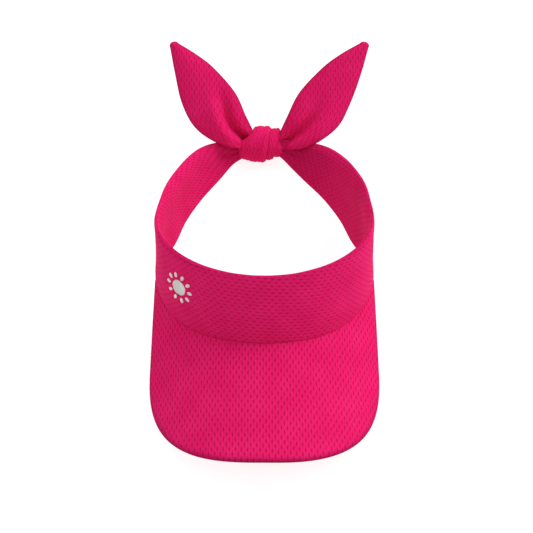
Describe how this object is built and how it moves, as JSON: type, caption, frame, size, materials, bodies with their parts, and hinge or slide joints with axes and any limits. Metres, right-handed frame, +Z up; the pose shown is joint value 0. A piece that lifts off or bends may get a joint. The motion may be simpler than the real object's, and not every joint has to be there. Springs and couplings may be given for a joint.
{
  "type": "tie-back sun visor",
  "caption": "Knitted-mesh sun visor with a long arched fabric-covered brim and a headband tied at the back in a knot with two upright pointed tails.",
  "frame": {"origin": "centre of the bounding box in plan, on the surface that the brim's corners and the knot rest on", "axes": "+X to the right as seen by someone facing the brim, +Y from the brim to the knot, +Z up; the headband ring leans back 15.95 degrees about X, so the brim's side is raised"},
  "size_m": [0.1796, 0.3617, 0.098],
  "materials": {
    "air_mesh": "hot-pink knitted air mesh with staggered eyelets, soft low sheen",
    "interlining": "off-white woven buckram, matt",
    "tape": "hot-pink woven twill tape",
    "terry": "hot-pink terry loop pile, matt",
    "label": "blank white woven satin label",
    "stiffener": "white polyethylene board",
    "embroidery": "white satin-stitch embroidery thread, soft sheen",
    "thread": "hot-pink polyester sewing thread"
  },
  "bodies": {
    "visor": {"front_band_outer": "air_mesh", "band_interlining": "interlining", "front_band_lining": "air_mesh", "brim_seam_tape": "tape", "sweatband": "terry", "care_label": "label", "brim_top_cover": "air_mesh", "brim_board": "stiffener", "brim_under_cover": "air_mesh", "left_strap_outer": "air_mesh", "left_strap_lining": "air_mesh", "right_strap_outer": "air_mesh", "right_strap_lining": "air_mesh", "knot_core": "air_mesh", "knot_wrap": "air_mesh", "knot_cross_strand": "air_mesh", "knot_under_strand": "air_mesh", "emblem_disc": "embroidery", "emblem_rays": "embroidery"},
    "left_tail": {"left_tail_back": "air_mesh", "left_tail_front": "air_mesh"},
    "right_tail": {"right_tail_back": "air_mesh", "right_tail_front": "air_mesh"}
  },
  "joints": [
    {"name": "left_tail_flop", "type": "hinge", "parent": "visor", "child": "left_tail", "pos_m": [-0.019, 0.11958, 0.02967], "axis": [0.678, 0.5724, 0.4611], "range_deg": [-20, 75], "stiffness_Nm_per_rad": 0.05},
    {"name": "right_tail_flop", "type": "hinge", "parent": "visor", "child": "right_tail", "pos_m": [0.0205, 0.11958, 0.02967], "axis": [0.678, -0.5724, -0.4611], "range_deg": [-20, 75], "stiffness_Nm_per_rad": 0.05}
  ]
}
